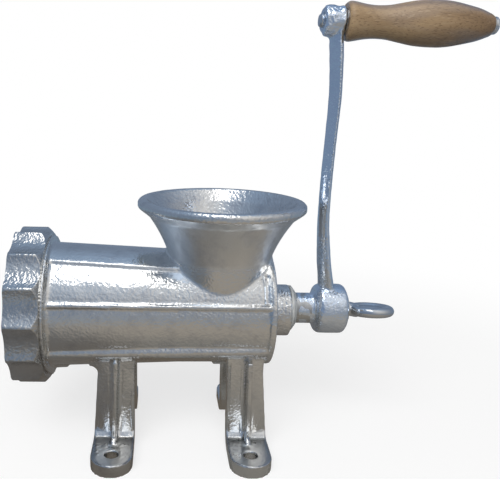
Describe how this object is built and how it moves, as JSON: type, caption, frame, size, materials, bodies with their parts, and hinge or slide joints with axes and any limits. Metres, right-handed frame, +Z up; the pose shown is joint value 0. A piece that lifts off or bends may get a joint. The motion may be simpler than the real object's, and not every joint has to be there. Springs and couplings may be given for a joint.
{
  "type": "hand crank meat grinder",
  "caption": "Bolt-down manual mincer: cast barrel with a round hopper on four legs, worm, knife and perforated plate behind a scalloped ring nut, crank with a wooden grip.",
  "frame": {"origin": "centre of the four foot bolts, on the plane that the feet stand on", "axes": "+Z up, +X along the barrel from the ring nut towards the crank, +Y completes the right-hand set (away from the side that the picture shows)"},
  "size_m": [0.2734, 0.11, 0.267],
  "materials": {
    "tinned_iron": "hot-dip tinned, fine orange-peel texture",
    "steel": "turned and ground",
    "chrome": "polished",
    "nylon": "moulded, matte",
    "fibre": "hard vulcanised fibre, matte",
    "beech": "turned beech, clear lacquer"
  },
  "bodies": {
    "grinder": {"body_casting": "tinned_iron", "rear_bush": "nylon", "thrust_washer": "fibre", "plate_pin": "steel"},
    "drive": {"auger_worm": "tinned_iron", "auger_shaft": "steel", "auger_pin": "steel", "knife_stud": "steel", "knife": "steel", "crank_arm": "tinned_iron", "grip_spindle": "steel", "grip_inner_washer": "steel", "grip_end_washer": "steel"},
    "plate": {"cutting_plate": "steel"},
    "nut": {"ring_nut": "tinned_iron"},
    "thumb_washer": {"thumb_washer": "steel"},
    "thumb_screw": {"thumb_screw": "chrome"},
    "grip": {"wood_grip": "beech"}
  },
  "joints": [
    {"name": "crank_turn", "type": "hinge", "parent": "grinder", "child": "drive", "pos_m": [0, 0, 0.0855], "axis": [1, 0, 0], "continuous": true},
    {"name": "grip_spin", "type": "hinge", "parent": "drive", "child": "grip", "pos_m": [0.128, 0, 0.2545], "axis": [1, 0, 0], "continuous": true},
    {"name": "plate_slide", "type": "slide", "parent": "grinder", "child": "plate", "axis": [-1, 0, 0], "range_m": [0, 0.0121]},
    {"name": "ring_nut_turn", "type": "hinge", "parent": "plate", "child": "nut", "pos_m": [-0.09, 0, 0.0855], "axis": [-1, 0, 0], "range_deg": [0, 1440]},
    {"name": "thumb_washer_slide", "type": "slide", "parent": "drive", "child": "thumb_washer", "axis": [1, 0, 0], "range_m": [0, 0.012]},
    {"name": "thumb_screw_turn", "type": "hinge", "parent": "thumb_washer", "child": "thumb_screw", "pos_m": [0.11, 0, 0.0855], "axis": [1, 0, 0], "range_deg": [0, 2890]}
  ],
  "couplings": [
    {"joint": "plate_slide", "follows": "ring_nut_turn", "m_per_rad": 0.00047746},
    {"joint": "thumb_screw_turn", "follows": "thumb_washer_slide", "rad_per_m": 4188.8}
  ]
}
